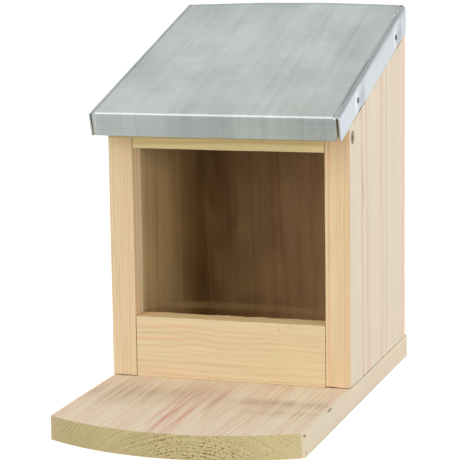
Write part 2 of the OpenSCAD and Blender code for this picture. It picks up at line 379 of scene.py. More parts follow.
def makeZinc(name, look):
    material, tree, output, spot, facing = newMaterial(name)
    clouds = streak(tree, spot, (0.03, 0.02, 0.02), 4, 0.55)
    rolling = streak(tree, spot, (0.3, 0.006, 0.006), 3, 0.6)
    brushing = streak(tree, spot, (0.05, 1.6, 1.6), 3, 0.6)
    value = calc(tree, "MULTIPLY_ADD", rolling, 0.28, calc(tree, "MULTIPLY", clouds, 0.72))
    colour = ramp(tree, value, (0.36, look["dark"]), (0.6, look["pale"]))
    colour = mix(tree, 1.0, colour, ramp(tree, brushing, (0.3, 0.93), (0.7, 1.05)), "MULTIPLY")
    height = calc(tree, "MULTIPLY_ADD", rolling, 0.8, calc(tree, "MULTIPLY", brushing, 0.15))
    # painted reflection: faces that look sideways get the bluer tint
    sideReflectionTint = ramp(tree, facingShare(tree, facing, (1, 0, 0)), (0.6, 0.0), (0.9, 0.85))
    colour = mix(tree, sideReflectionTint, colour, look["sides"])
    # fine scratches, and the long creases of the rolled sheet
    scratches = streak(tree, spot, (0.04, 3.0, 3.0), 2, 0.5)
    scratches = ramp(tree, scratches, (0.66, 0.0), (0.72, 1.0))
    colour = mix(tree, calc(tree, "MULTIPLY", scratches, 0.3), colour, look["scratch"])
    waver = calc(tree, "MULTIPLY_ADD", streak(tree, spot, (0.02, 0.02, 0.02), 2), 3.0,
                 part(tree, spot, "X"))
    faint = ramp(tree, streak(tree, spot, (0.1, 0.05, 0.05), 2), (0.35, 0.1), (0.6, 1.0))
    for place in look["creases"]:
        line = calc(tree, "ABSOLUTE", calc(tree, "SUBTRACT", waver, place + 1.5))
        line = calc(tree, "MULTIPLY", ramp(tree, line, (0.1, 1.0), (0.6, 0.0)), faint)
        colour = mix(tree, calc(tree, "MULTIPLY", line, 0.5), colour, look["crease"])
        height = calc(tree, "MULTIPLY_ADD", line, -0.4, height)
    for mark in look["marks"]:
        colour, height = addMark(tree, spot, colour, height, rolling, **mark)
    rough = ramp(tree, value, (0.35, 0.34), (0.65, 0.44))
    surface(tree, output, Base_Color=colour, Roughness=rough, Metallic=look["metal"],
            Normal=bump(tree, height, 0.1 * mm))
    return material


def makeSteel(name, pale="C9C9C6", dark="9B9B97", rough=0.35, metal=1.0):
    # plated steel of the screws, hinges and hanger: fine scratches and dull patches
    material, tree, output, spot, _ = newMaterial(name)
    scratch = streak(tree, spot, (6, 1.0, 1.0), 3, 0.6)
    patch = cloud(tree, spot, 0.35, 3)
    colour = mix(tree, ramp(tree, patch, (0.35, 0.0), (0.65, 1.0)), pale, dark)
    finish = calc(tree, "MULTIPLY_ADD", scratch, 0.25, rough - 0.1)
    surface(tree, output, Base_Color=colour, Roughness=finish, Metallic=metal,
            Normal=bump(tree, scratch, 0.03 * mm))
    return material


paneLook = {
    "haze": 0.065,
    "film": "B4925E",
    "clear": "FCFBF8",
    "bandHeight": 46,  # in millimetres, and how much it bows up to both sides
    "bandBow": 0.0006,
    "bandShare": 1.35,
}


def makeClear(name, look):
    # the pane: see-through, glossy, with cloudy smudges
    material, tree, output, spot, _ = newMaterial(name)
    curl = vectorCalc(tree, "MULTIPLY", cloud(tree, spot, 0.03, 2, 0.5, "Color"), (30, 0, 30))
    smudge = cloud(tree, stretch(tree, vectorCalc(tree, "ADD", spot, curl), 0.07, 0.05, 0.035), 1, 4, 0.6)
    smudge = ramp(tree, smudge, (0.43, 0.0), (0.54, 0.3), (0.62, 0.8))
    # a faint milky band just above the rail
    across = part(tree, spot, "X")
    bowed = calc(tree, "MULTIPLY_ADD", calc(tree, "MULTIPLY", across, across), look["bandBow"],
                 part(tree, spot, "Z"))
    band = calc(tree, "ABSOLUTE", calc(tree, "SUBTRACT", bowed, look["bandHeight"]))
    band = ramp(tree, calc(tree, "DIVIDE", band, 2.0), (0.3, 0.7), (0.5, 1.0), (0.9, 0.0))
    smudge = calc(tree, "MULTIPLY_ADD", band, look["bandShare"], smudge)
    through = addNode(tree, "ShaderNodeBsdfTransparent", {"Color": tint(look["clear"])})
    gloss = addNode(tree, "ShaderNodeBsdfGlossy", {"Roughness": 0.03})
    film = addNode(tree, "ShaderNodeBsdfDiffuse", {"Color": tint(look["film"])})
    edge = addNode(tree, "ShaderNodeFresnel", {"IOR": 1.15})
    clear = addNode(tree, "ShaderNodeMixShader",
                    {0: edge.outputs[0], 1: through.outputs[0], 2: gloss.outputs[0]})
    hazy = addNode(tree, "ShaderNodeMixShader",
                   {0: calc(tree, "MULTIPLY", smudge, look["haze"]), 1: clear.outputs[0], 2: film.outputs[0]})
    tree.links.new(hazy.outputs[0], output.inputs["Surface"])
    return material


# Mesh helpers

def arc(middle, radius, start, end, steps, first=0):
    # points along an arc between two angles in degrees
    points = []
    for k in range(first, steps + 1):
        a = math.radians(start + (end - start) * k / steps)
        points.append((middle[0] + radius * math.cos(a), middle[1] + radius * math.sin(a)))
    return points


def ringAt(bm, place, radius, z, sides):
    return [bm.verts.new(place @ Vector((radius * math.cos(math.tau * k / sides),
                                         radius * math.sin(math.tau * k / sides), z)))
            for k in range(sides)]


def joinRings(bm, rings):
    # side faces between closed rings of points, each ring above the one before
    for low, high in zip(rings, rings[1:]):
        for k in range(len(low)):
            n = (k + 1) % len(low)
            bm.faces.new((low[k], low[n], high[n], high[k]))


def closeEnds(bm, rings):
    bm.faces.new(list(reversed(rings[0])))
    bm.faces.new(rings[-1])


# How a board's outline and its third direction lie in the object

def upright(a, b, c):
    return Vector((a, b, c))


def lengthwise(a, b, c):
    return Vector((c, a, b))


def onSlope(a, b, c):
    return slopeFrame @ Vector((c, a, b))


def againstBack(a, b, c):
    return Vector((a, -c, b))


def evenly(start, end):
    # the ends of a board that is as long all over
    return lambda a, b: (start, end)


def outlinePoints(corners, step):
    # the corners of a counterclockwise outline with more points between them, and the way out at each
    places = []
    for k, corner in enumerate(corners):
        a, b = Vector(corner), Vector(corners[(k + 1) % len(corners)])
        count = max(1, math.ceil((b - a).length / step))
        places += [a.lerp(b, i / count) for i in range(count)]
    points = []
    for k, place in enumerate(places):
        run = (places[(k + 1) % len(places)] - places[k - 1]).normalized()
        points.append((place, Vector((run.y, -run.x))))
    return points


def boardShape(corners, ends, place, step=5 * mm, wobble=0.06 * mm, rough=None, seed=0):
    # a board with this outline, from ends(a, b)[0] to [1] along its third direction
    bm = bmesh.new()
    ring = outlinePoints(corners, step)
    longest = max(ends(p.x, p.y)[1] - ends(p.x, p.y)[0] for p, out in ring)
    count = max(1, math.ceil(longest / step))
    rows = []
    for i in range(count + 1):
        row = []
        for p, out in ring:
            low, high = ends(p.x, p.y)
            c = low + (high - low) * i / count
            spot = Vector((p.x, p.y, c))
            push = wobble * noise.noise(spot / (22 * mm) + Vector((seed, 0, 0)))
            if rough:
                push += rough(spot, out)
            q = p + out * push
            low, high = ends(q.x, q.y)
            row.append(bm.verts.new(place(q.x, q.y, low + (high - low) * i / count)))
        rows.append(row)
    joinRings(bm, rows)
    closeEnds(bm, rows)
    bm.normal_update()
    return bm


def makePiece(name, bm, body, slot, replaced, *materials, smooth=True):
    mesh = bpy.data.meshes.new(name)
    for face in bm.faces:
        face.smooth = smooth
    bm.to_mesh(mesh)
    bm.free()
    for material in materials:
        mesh.materials.append(material)
    piece = bpy.data.objects.new(name, mesh)
    bpy.context.scene.collection.objects.link(piece)
    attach(piece, body)
    if replaced:
        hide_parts(*replaced)
    return piece


def carve(piece, cutter):
    # takes the cutter's shape out of the piece; the cut faces keep the cutter's material number
    mesh = bpy.data.meshes.new("cutter")
    cutter.to_mesh(mesh)
    cutter.free()
    tool = bpy.data.objects.new("cutter", mesh)
    bpy.context.scene.collection.objects.link(tool)
    cut = piece.modifiers.new("cut", "BOOLEAN")
    cut.object, cut.operation, cut.solver = tool, "DIFFERENCE", "EXACT"
    bpy.context.view_layer.update()
    carved = bpy.data.meshes.new_from_object(piece.evaluated_get(bpy.context.evaluated_depsgraph_get()))
    piece.modifiers.clear()
    old = piece.data
    piece.data = carved
    carved.name = old.name
    bpy.data.meshes.remove(old)
    bpy.data.objects.remove(tool)
    bpy.data.meshes.remove(mesh)


def softenEdges(piece, widest, rule=None, limit=40, segments=3):
    # rounds the piece's sharp edges: rule gives each edge's share of the widest rounding
    bm = bmesh.new()
    bm.from_mesh(piece.data)
    weight = bm.edges.layers.float.get("bevel_weight_edge") or bm.edges.layers.float.new("bevel_weight_edge")
    for edge in bm.edges:
        if len(edge.link_faces) == 2 and edge.calc_face_angle(0) > math.radians(limit):
            middle = (edge.verts[0].co + edge.verts[1].co) / 2
            edge[weight] = rule(middle, edge) if rule else 1.0
            edge.smooth = edge[weight] > 0
    bm.to_mesh(piece.data)
    bm.free()
    bevel = piece.modifiers.new("soft edges", "BEVEL")
    bevel.limit_method, bevel.width, bevel.segments = "WEIGHT", widest, segments
    bevel.harden_normals = True


def rod(bm, start, end, radius, sides=24, rim=0.0):
    # a closed round bar, with its two rims chamfered by rim
    axis = (end - start).normalized()
    side = axis.orthogonal().normalized()
    up = axis.cross(side)
    rows = []
    length = (end - start).length
    steps = [(0, radius), (length, radius)]
    if rim:
        steps = [(0, radius - rim), (rim, radius), (length - rim, radius), (length, radius - rim)]
    for run, r in steps:
        rows.append([bm.verts.new(start + axis * run + (side * math.cos(a) + up * math.sin(a)) * r)
                     for a in [math.tau * k / sides for k in range(sides)]])
    joinRings(bm, rows)
    closeEnds(bm, rows)


def frameAt(origin, out):
    # a frame at a point with its Z along the way out
    return Matrix.Translation(origin) @ Vector(out).to_track_quat("Z", "Y").to_matrix().to_4x4()


# Screws: countersunk heads with a cross recess

screwLook = {
    "recess": 0.62,  # half span of the cross, as a share of the head's radius
    "armWidth": 0.17,
    "recessDepth": 0.42,
    "shankShare": 0.5,
    "headShare": 0.985,  # of the head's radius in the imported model
    "sides": 32,
    "longSink": (0.35 * mm, 0.12 * mm),  # depth of the sink and clearance round the head
    "smallSink": (0.3 * mm, 0.1 * mm),
}


def addScrew(bm, place, headRadius, length, turn=0.0):
    look = screwLook
    reach, arm = headRadius * look["recess"], headRadius * look["armWidth"]
    shank = headRadius * look["shankShare"]
    place = place @ Matrix.Rotation(turn, 4, "Z")
    sides = look["sides"]
    profile = [(shank, -length + 2 * shank), (shank, -headRadius * 0.16 - (headRadius - shank)),
               (headRadius, -0.16 * headRadius), (headRadius, -0.08 * headRadius), (headRadius * 0.93, 0)]
    rings = [ringAt(bm, place, r, z, sides) for r, z in profile]
    joinRings(bm, rings)
    tip = bm.verts.new(place @ Vector((0, 0, -length)))
    for k in range(sides):
        bm.faces.new((rings[0][(k + 1) % sides], rings[0][k], tip))
    # the cross, cut into the head's flat top
    cross = []
    for quarter in range(4):
        a = quarter * math.pi / 2
        for x, y in ((arm, arm * 1.3), (arm, reach), (-arm, reach)):
            c, s = math.cos(a), math.sin(a)
            cross.append((x * c - y * s, x * s + y * c))
    order = sorted(cross, key=lambda p: math.atan2(p[1], p[0]))
    rim = [bm.verts.new(place @ Vector((x, y, 0))) for x, y in order]
    depth = headRadius * look["recessDepth"]
    floor = [bm.verts.new(place @ Vector((x * 0.55, y * 0.55, -depth))) for x, y in order]
    edges = [bm.edges.new((rim[k], rim[(k + 1) % len(rim)])) for k in range(len(rim))]
    outer = [bm.edges.get((rings[-1][k], rings[-1][(k + 1) % sides])) for k in range(sides)]
    bmesh.ops.triangle_fill(bm, use_beauty=True, edges=edges + outer)
    for k in range(len(rim)):
        n = (k + 1) % len(rim)
        bm.faces.new((rim[k], floor[k], floor[n], rim[n]))
    bm.faces.new(floor)


def screwPlaces(node, out):
    # one place for each screw of a group: the middle of its head, and its radius and length
    places = []
    for low, high in looseParts(node):
        middle, half = (low + high) / 2, (high - low) / 2
        way = Vector(out(middle))
        k = max(range(3), key=lambda i: abs(way[i]))
        radius = half[(k + 1) % 3]
        places.append((frameAt(middle + way * half[k], way), radius, 2 * half[k]))
    return places


def makeScrews(node, out, body, slot, material):
    bm = bmesh.new()
    for place, radius, length in screwPlaces(node, out):
        addScrew(bm, place, radius * screwLook["headShare"], length, random.uniform(0, math.pi / 2))
    bmesh.ops.recalc_face_normals(bm, faces=bm.faces)
    makePiece(node, bm, body, slot, [node], material, smooth=False)


def screwSinks(places, size="longSink"):
    # shallow round cutters over the screws' heads
    depth, clearance = screwLook[size]
    bm = bmesh.new()
    for place, radius, _ in places:
        out = place.to_3x3() @ Vector((0, 0, 1))
        origin = place.translation
        rod(bm, origin - out * depth, origin + out * 2 * mm, radius + clearance, 28)
    return bm


random.seed(7)


def downward(point):
    return (0, 0, -1)


def backward(point):
    return (0, 1, 0)


def sideways(point):
    return (math.copysign(1, point.x), 0, 0)


# Base board: bowed front edge, grain from front to back

baseLook = {
    "lowerEdge": 1.6 * mm,
    "upperEdge": 0.5 * mm,
    "rearCorner": 2.2 * mm,
    "pine": dict(
        grain="Y", pith=(9, 0, -42), lean=(0.8, 0), ringGap=1.6, sway=2.2,
        early="E9DBC0", late="D2A07E", lateAmount=0.5, blush="DFB39C", blushAmount=0.45,
        endWood="D3C28E", specks=0.5, pitted=((14, -110, 5), (40, 14, 9)),
        marks=[
            stain((-8, -80, 11.4), (1.8, 46, 3), "CC7F78", 0.6, ragged=0.3, soft=0.8),
            stain((-13, -72, 11.4), (1.4, 34, 3), "D08C82", 0.3, ragged=0.3, soft=0.8),
            stain((-1, -78, 11.4), (1.8, 50, 3), "CC857C", 0.5, ragged=0.3, soft=0.8),
            stain((5, -48, 11.4), (2.5, 26, 3), "B98374", 0.4, ragged=0.4),
            stain((-8, -38, 11.4), (16, 26, 3), "BE8C7C", 0.45, soft=0.9, grained=0.5),
            stain((36, -48, 11.4), (38, 10, 3), "96704A", 0.5, soft=0.95, grained=0.6, ragged=0.35),
            stain((40, -64, 11.4), (24, 9, 3), "B5876A", 0.4, soft=0.9, grained=0.8),
            stain((-38, -44, 11.4), (40, 26, 3), "A67A4C", 0.5, soft=0.95, grained=0.7),
            stain((60, -20, 6), (2, 150, 30), "EBDDC6", 0.6, ragged=0.0, soft=0.3),
            stain((60, -94, 10), (1.2, 0.9, 0.9), "8A5230", 0.8, hollow=1.0),
            stain((60, -96, 5.5), (1.2, 1.0, 1.6), "8A5230", 0.7, hollow=1.0),
            stain((60, -93, 2.5), (1.2, 0.8, 1.1), "9A6238", 0.7, hollow=1.0),
            stain((60, -52, 11), (1.2, 5, 0.5), "5E5446", 0.9, hollow=1.0),
        ]),
}


def makeBase():
    look = baseLook
    half = baseHigh.x
    cornerY = min(p.y for p in nodePoints("base_board") if p.x > half - 0.1 * mm)
    bow = cornerY - baseLow.y
    radius = (half * half + bow * bow) / (2 * bow)
    sweep = math.degrees(math.asin(half / radius))
    r = look["rearCorner"]
    corners = arc((half - r, baseHigh.y - r), r, 0, 90, 4)
    corners += arc((r - half, baseHigh.y - r), r, 90, 180, 4)
    corners += arc((0, baseLow.y + radius), radius, -90 - sweep, -90 + sweep, 40)
    pine = makePine("pine base board", **look["pine"])
    bm = boardShape(corners, evenly(baseLow.z, baseHigh.z), upright,
                    step=3.2 * mm, seed=3)
    piece = makePiece("base_board_wood", bm, "box", "pine_base", ["base_board"], pine)
    carve(piece, screwSinks(screwPlaces("base_screws", downward)))

    def rounding(middle, edge):
        if abs(middle.z - baseLow.z) < 0.05 * mm:
            outside = (abs(middle.x) > half - 4 * mm or abs(middle.y - baseHigh.y) < 4 * mm
                       or onOutline(middle))
            return 1.0 if outside else 0.0
        if abs(middle.z - baseHigh.z) < 0.05 * mm:
            return look["upperEdge"] / look["lowerEdge"]
        return 0.5 if abs(abs(middle.x) - half) < 0.5 * mm and middle.y < 0 else 0.0

    def onOutline(middle):
        centre = Vector((0, baseLow.y + radius))
        return (Vector((middle.x, middle.y)) - centre).length > radius - 1 * mm

    softenEdges(piece, look["lowerEdge"], rounding)
    print("base board")


# Side panels: upright grain, a groove for the pane, tops cut to the slope

sideLook = {
    "edge": 0.45 * mm,
    "grooveFit": 0.25 * mm,
    "footGap": 0.45 * mm,
    # inside: painted shade on each inner face, lightest near the window and darkest towards the back
    "right": dict(pith=(-30, 36, 0), lean=(0.2, 0.1), ringGap=2.2, sway=1.4, early="EBDFC8", late="DFA585",
                  lateAmount=0.6, blush="E6C8B0", blushAmount=0.3, endWood="D5C295",
                  edgeTint=((0, 1, 0), "FCEBD0"), inside=("Y", "EFE2CC", "A08A5A"),
                  marks=[stain((60, 11, 105), (3, 3, 15), "AE9C70", 0.5, soft=0.9, grained=0.4),
                         stain((60, 14.5, 100), (2, 1.6, 10), "9C8A5E", 0.35, soft=0.9),
                         stain((60, 26.5, 90), (3, 0.9, 95), "D8A898", 0.4, ragged=0.3, soft=0.8),
                         stain((60, 60, 85), (3, 1.1, 110), "DBACA0", 0.45, ragged=0.3, soft=0.8),
                         stain((60, 56, 95), (3, 0.5, 60), "DBAEA0", 0.4, ragged=0.3, soft=0.8)]),
    "left": dict(pith=(30, 40, 0), lean=(0.2, 0.1), ringGap=2.2, sway=1.4, early="E7D1AA", late="DA9C74",
                 lateAmount=0.65, blush="DDB08A", blushAmount=0.3, endWood="D0BB8A",
                 inside=("Y", "FFFFF0", "9C8448")),
}


def makeSides():
    fit = sideLook["grooveFit"]
    for side, hand in ((-1, "left"), (1, "right")):
        look, name, inner, outer = sideLook[hand], "side_" + hand, sideLow.x, sideHigh.x
        deep = paneHigh.x + fit
        corners = [(outer, sideLow.y), (outer, sideHigh.y), (inner, sideHigh.y),
                   (inner, paneHigh.y + fit), (deep, paneHigh.y + fit), (deep, paneLow.y - fit),
                   (inner, paneLow.y - fit), (inner, sideLow.y)]
        corners = [(x * side, y) for x, y in corners]
        if side < 0:
            corners.reverse()

        def ends(a, b):
            # the panel stands a hair above the base, a little unevenly
            uneven = noise.noise(Vector((a / (6 * mm), b / (5 * mm), side)))
            return sideLow.z + sideLook["footGap"] * (1 + 0.8 * uneven), slopeTop(b)

        bm = boardShape(corners, ends, upright,
                        step=3 * mm, wobble=0.1 * mm, seed=10 + side)
        sinks = [p for p in screwPlaces("rail_screws", sideways) if p[0].translation.x * side > 0]
        rims = [stain(tuple(place.translation / mm), (2, 1.3 * radius / mm, 1.3 * radius / mm), "7E5A3C", 0.6,
                      ragged=0.2) for place, radius, _ in sinks]
        look = {**look, "marks": look.get("marks", []) + rims}
        pine = makePine("pine side " + hand, grain="Z", **look)
        piece = makePiece(name + "_wood", bm, "box", "pine", [name], pine)
        carve(piece, screwSinks(sinks))

        def rounding(middle, edge):
            atGroove = paneLow.y - 1 * mm < middle.y < paneHigh.y + 1 * mm
            return 0.2 if atGroove and abs(middle.x) < paneHigh.x + 1 * mm else 1.0

        softenEdges(piece, sideLook["edge"], rounding)
    print("side panels")


# Back board

def backRounding(middle, edge):
    # only the outside edges are rounded, not the rims of the holes
    outside = (abs(abs(middle.x) - backHigh.x) < 0.3 * mm or abs(middle.z - backLow.z) < 0.2 * mm
               or abs(middle.z - slopeTop(middle.y)) < 0.3 * mm)
    return 1.0 if outside else 0.0


backLook = {
    "edge": 0.5 * mm,
    # inside: painted shade on the inner face, darkest at the left corner and lighter to the right
    "pine": dict(grain="Z", depth=0.05, inside=("X", "8A6E38", "FFE6CC"), pith=(14, 150, 0),
                 lean=(0.4, -0.5), ringGap=3.4, sway=4.0, early="F8E8CE", late="C8946A", lateAmount=0.55,
                 blush="E4B8A4", blushAmount=0.5, endWood="CDB98A",
                 marks=[stain((-18, 108, 62), (5.5, 8, 7), "7A4A26", 0.85, ragged=0.25),
                        stain((31, 108, 96), (3.5, 8, 4.5), "84522C", 0.8, ragged=0.25)]),
}


def makeBack():
    corners = [(backHigh.x, backLow.y), (backHigh.x, backHigh.y), (backLow.x, backHigh.y),
               (backLow.x, backLow.y)]
    pine = makePine("pine back board", **backLook["pine"])
    bm = boardShape(corners, lambda a, b: (backLow.z, slopeTop(b)), upright,
                    step=5 * mm, wobble=0.12 * mm, seed=21)
    piece = makePiece("back_board_wood", bm, "box", "pine", ["back_board"], pine)
    carve(piece, screwSinks(screwPlaces("back_screws", backward)))
    softenEdges(piece, backLook["edge"], backRounding)
    print("back board")


# Rails: bottom rail with a rough sawn top edge, and the narrow top rail

railLook = {
    "edge": 0.5 * mm,
    "sawDepth": 0.35 * mm,
    "endGap": 0.3 * mm,
    "lowPine": dict(grain="X", pith=(0, 34, 78), lean=(0, 1.6), ringGap=2.2, sway=6.0, ripple=1.6,
                    early="E4D0A8", late="D89A68", lateAmount=0.5, blush="E6BE9C", blushAmount=0.35,
                    endWood="CBB884", edgeTint=((0, 0, 1), "FFFAE6"), specks=0.25,
                    marks=[stain((25, -13, 38), (1.1, 4, 0.9), "B48C48", 0.7),
                           stain((25, -13, 38), (3.4, 4, 2.2), "E8CE9C", 0.5, soft=0.8),
                           stain((32, -13, 24), (42, 4, 24), "E2CE9C", 0.55, soft=0.9, grained=0.3)]),
    "topPine": dict(grain="X", pith=(0, -40, 95), lean=(0, -1.0), ringGap=2.2, sway=3.0,
                    early="EAD8A2", late="C8A25E", lateAmount=0.5, blush="DCC284", blushAmount=0.4,
                    endWood="C6B27C"),
}


def makeRails():
    look = railLook

    def sawnTop(spot, out):
        # only the top face of the bottom rail is left rough from the saw
        if out.y < 0.5:
            return 0.0
        fine = noise.noise(Vector((spot.z / (1.6 * mm), spot.x / (2.5 * mm), 4)))
        slow = noise.noise(Vector((spot.z / (9 * mm), spot.x / (9 * mm), 9)))
        return look["sawDepth"] * (0.9 * fine + 0.7 * slow)

    corners = [(lowRailLow.y, lowRailLow.z), (lowRailHigh.y, lowRailLow.z),
               (lowRailHigh.y, lowRailHigh.z), (lowRailLow.y, lowRailHigh.z)]
    pine = makePine("pine bottom rail", **look["lowPine"])
    bm = boardShape(corners, evenly(lowRailLow.x + look["endGap"], lowRailHigh.x - look["endGap"]),
                    lengthwise, step=1.2 * mm, wobble=0.1 * mm, rough=sawnTop, seed=31)
    piece = makePiece("bottom_rail_wood", bm, "box", "pine", ["bottom_rail"], pine)
    softenEdges(piece, look["edge"], lambda middle, edge: 0.5, limit=55)

    frontY, rearY, low = topRailLow.y, topRailHigh.y, topRailLow.z
    corners = [(frontY, low), (rearY, low), (rearY, slopeTop(rearY)), (frontY, slopeTop(frontY))]
    pine = makePine("pine top rail", **look["topPine"])
    bm = boardShape(corners, evenly(topRailLow.x + look["endGap"], topRailHigh.x - look["endGap"]),
                    lengthwise, step=2.5 * mm, wobble=0.12 * mm, seed=35)
    piece = makePiece("top_rail_wood", bm, "box", "pine", ["top_rail"], pine)
    softenEdges(piece, look["edge"], lambda middle, edge: 0.6)
    print("rails")


# Clear pane

def makePane():
    corners = [(paneLow.x, paneLow.y), (paneHigh.x, paneLow.y), (paneHigh.x, paneHigh.y),
               (paneLow.x, paneHigh.y)]
    bm = boardShape(corners, evenly(paneLow.z, paneHigh.z), upright,
                    step=40 * mm, wobble=0)
    piece = makePiece("window_pane_clear", bm, "box", "clear_acrylic", ["window_pane"],
                      makeClear("clear acrylic", paneLook))
    softenEdges(piece, 0.15 * mm, segments=2)
    print("clear pane")


# Lid board under the sheet, its rear end cut upright

lidLook = {
    "edge": 0.4 * mm,
    "fuzz": 0.3 * mm,
    "sideInset": 0.25 * mm,
    "notch": 5.5 * mm,  # cut off the front corners, under the open corners of the sheet
    "pine": dict(grain="Y", pith=(20, 0, 190), lean=(16.8, 0), ringGap=3.0, sway=3.0, early="E8D8B0",
                 late="C09A5C", lateAmount=0.5, blush="DCC590", blushAmount=0.4, endWood="BFAE6E"),
}


def makeLidBoard():
    look = lidLook
    low, high = slopeBox("lid_board")
    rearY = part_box("lid_board")[1].y

    def fuzzy(spot, out):
        # the lower front edge is torn by the saw
        near = max(0.0, 1 - (spot.x - low.y) / (3 * mm)) * (1.0 if spot.y < low.z + 2 * mm else 0.0)
        return look["fuzz"] * near * noise.noise(Vector((spot.z / (1.1 * mm), spot.y / (2 * mm), 2)))

    def ends(a, b):
        # the left side keeps inside the sheet, which leans in towards the rear
        share = max(0.0, (a - low.y) / (slopeRun(rearY, high.z) - low.y))
        return low.x + look["sideInset"] + max(0.0, leftLean(share, 1.0)), high.x - look["sideInset"]

    rearTop = high.z + sheetLook["rearRise"]
    corners = [(low.y, low.z), (slopeRun(rearY, low.z), low.z),
               (slopeRun(rearY, rearTop), rearTop), (low.y, high.z)]
    pine = makePine("pine lid board", **look["pine"])
    bm = boardShape(corners, ends, onSlope,
                    step=2.0 * mm, wobble=0.1 * mm, rough=fuzzy, seed=41)
    piece = makePiece("lid_board_wood", bm, "lid", "pine_lid", ["lid_board"], pine)
    n = look["notch"]
    for side in (-1, 1):
        start, end = sorted((side * (high.x - n), side * (high.x + n)))
        block = [(low.y - n, low.z - n), (low.y + n, low.z - n), (low.y + n, high.z - 1 * mm),
                 (low.y - n, high.z - 1 * mm)]
        carve(piece, boardShape(block, evenly(start, end),
                                onSlope, step=20 * mm, wobble=0))
    softenEdges(piece, look["edge"], lambda middle, edge: 0.5, limit=55)
    print("lid board")


# Folded zinc sheet over the lid board

sheetLook = {
    "thickness": 0.6 * mm,
    "foldRadius": 1.2 * mm,
    "slit": 0.55 * mm,  # open slit between the front flange and each side flange
    "cornerRound": 1.5 * mm,
    "sideDrop": 0.9 * mm,  # how much lower the side flanges reach than the front one
    "leftFlare": 1.3 * mm,  # how far the left fold stands out at the front
    "rearRise": 1.2 * mm,  # how much higher the sheet sits at the rear
    "rearArch": 1.3 * mm,
    "leftTaper": 1.6 * mm,  # how far the left fold leans in at the rear
    "bow": 0.3 * mm,  # how far the side flanges stand out between the nails
    "dent": 1.05 * mm,
    "dentRadius": 6.5 * mm,
    "pinchRadius": 2.2 * mm,
    "cornerGap": 0.25 * mm,
    "rows": 50,
    "columns": 56,
}


def leftLean(share, level):
    # how far the left fold leans in, from the front to the rear and from its lower edge up
    look = sheetLook
    return look["leftTaper"] * share ** 2 * (0.4 + 0.6 * level) - look["leftFlare"] * (1 - share) ** 2


